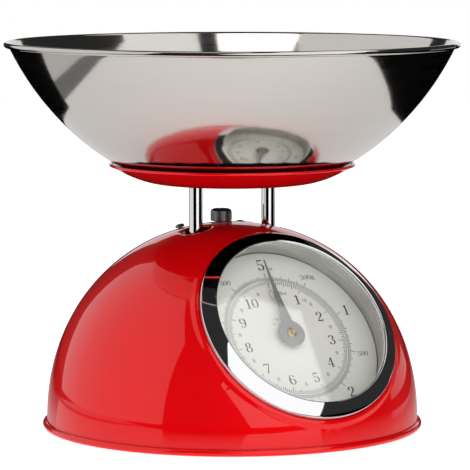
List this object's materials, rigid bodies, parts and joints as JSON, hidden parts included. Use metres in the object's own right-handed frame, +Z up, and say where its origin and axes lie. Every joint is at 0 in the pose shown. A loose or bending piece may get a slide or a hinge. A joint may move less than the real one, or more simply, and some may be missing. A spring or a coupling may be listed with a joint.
{
  "type": "kitchen scale",
  "caption": "Dome-shaped spring kitchen scale with a tilted round dial, twin posts, a shallow dish and a lift-off metal bowl that press down a rack-and-pinion weighing movement.",
  "frame": {"origin": "on the surface the scale stands on, under the dome's axis", "axes": "+Z up; the dial faces -Y and leans back; the two posts stand on the X axis"},
  "size_m": [0.2692, 0.2692, 0.2294],
  "materials": {
    "red_paint": "metallic red stove paint under clear lacquer",
    "polished_stainless": "pressed stainless steel, polished",
    "chrome_plate": "chrome plate",
    "clear_lens": "clear acrylic",
    "dial_enamel": "white printed dial, matt",
    "aluminium_strip": "rolled aluminium",
    "pointer_paint": "grey painted pointer",
    "brass": "turned brass",
    "blackened_steel": "dark nickel plate, knurled",
    "zinc_plated_steel": "zinc plated pressed steel",
    "rubber": "moulded rubber"
  },
  "bodies": {
    "housing": {"dome": "red_paint", "bezel": "chrome_plate", "lens": "clear_lens", "dial_plate": "dial_enamel", "dial_liner": "aluminium_strip", "dial_pan": "zinc_plated_steel", "front_bush": "brass", "rear_bush": "brass", "movement_bracket": "zinc_plated_steel", "movement_screw_1": "zinc_plated_steel", "movement_screw_2": "zinc_plated_steel", "rack_guide_pin": "zinc_plated_steel", "rack_guide_roller": "brass", "chassis": "zinc_plated_steel", "left_top_screw": "zinc_plated_steel", "right_top_screw": "zinc_plated_steel", "left_top_spacer": "aluminium_strip", "right_top_spacer": "aluminium_strip", "left_top_nut": "zinc_plated_steel", "right_top_nut": "zinc_plated_steel", "base_plate": "zinc_plated_steel", "base_screw_1": "zinc_plated_steel", "base_screw_2": "zinc_plated_steel", "base_screw_3": "zinc_plated_steel", "base_screw_4": "zinc_plated_steel", "foot_1": "rubber", "foot_2": "rubber", "foot_3": "rubber", "foot_4": "rubber", "overload_stop": "rubber", "upper_lever_pin": "zinc_plated_steel", "lower_lever_pin": "zinc_plated_steel", "left_spring": "zinc_plated_steel", "right_spring": "zinc_plated_steel"},
    "load_carrier": {"load_carrier": "zinc_plated_steel", "upper_carrier_pin": "zinc_plated_steel", "lower_carrier_pin": "zinc_plated_steel", "left_post": "chrome_plate", "right_post": "chrome_plate", "left_dish_screw": "zinc_plated_steel", "right_dish_screw": "zinc_plated_steel", "left_post_screw": "zinc_plated_steel", "right_post_screw": "zinc_plated_steel", "dish": "red_paint"},
    "bowl": {"bowl": "polished_stainless"},
    "upper_lever": {"upper_lever": "zinc_plated_steel"},
    "lower_lever": {"lower_lever": "zinc_plated_steel"},
    "rack": {"rack": "brass", "rack_pin": "zinc_plated_steel"},
    "pointer": {"pointer": "pointer_paint", "pinion_spindle": "brass"},
    "zero_knob": {"zero_knob": "blackened_steel", "zero_screw": "zinc_plated_steel", "zero_screw_collar": "brass"},
    "spring_hanger": {"spring_hanger": "zinc_plated_steel"}
  },
  "joints": [
    {"name": "load_slide", "type": "slide", "parent": "housing", "child": "load_carrier", "axis": [0, 0, -1], "range_m": [0, 0.01193], "stiffness_N_per_m": 4110, "springref_m": -0.00215, "deforming": ["left_spring", "right_spring"]},
    {"name": "bowl_lift", "type": "slide", "parent": "load_carrier", "child": "bowl", "axis": [0, 0, 1], "range_m": [0, 0.1]},
    {"name": "upper_lever_hinge", "type": "hinge", "parent": "housing", "child": "upper_lever", "pos_m": [0, 0.03373, 0.07053], "axis": [1, 0, 0], "range_deg": [0, 19.27]},
    {"name": "lower_lever_hinge", "type": "hinge", "parent": "housing", "child": "lower_lever", "pos_m": [0, 0.03373, 0.03597], "axis": [1, 0, 0], "range_deg": [0, 19.27]},
    {"name": "rack_slide", "type": "slide", "parent": "housing", "child": "rack", "axis": [0, -0.6115, -0.7912], "range_m": [0, 0.01512]},
    {"name": "pointer_turn", "type": "hinge", "parent": "housing", "child": "pointer", "pos_m": [0, -0.07223, 0.06817], "axis": [0, 0.7912, -0.6115], "range_deg": [0, 360.2]},
    {"name": "zero_knob_turn", "type": "hinge", "parent": "housing", "child": "zero_knob", "pos_m": [0, 0.0126, 0.125], "axis": [0, 0, 1], "range_deg": [-360, 360]},
    {"name": "spring_hanger_slide", "type": "slide", "parent": "housing", "child": "spring_hanger", "axis": [0, 0, 1], "range_m": [-0.00072, 0.00072]}
  ],
  "couplings": [
    {"joint": "upper_lever_hinge", "follows": "load_slide", "rad_per_m": 28.115},
    {"joint": "lower_lever_hinge", "follows": "load_slide", "rad_per_m": 28.115},
    {"joint": "rack_slide", "follows": "load_slide", "ratio": 1.2639},
    {"joint": "pointer_turn", "follows": "load_slide", "rad_per_m": 526.61},
    {"joint": "spring_hanger_slide", "follows": "zero_knob_turn", "m_per_rad": -0.00011141}
  ]
}
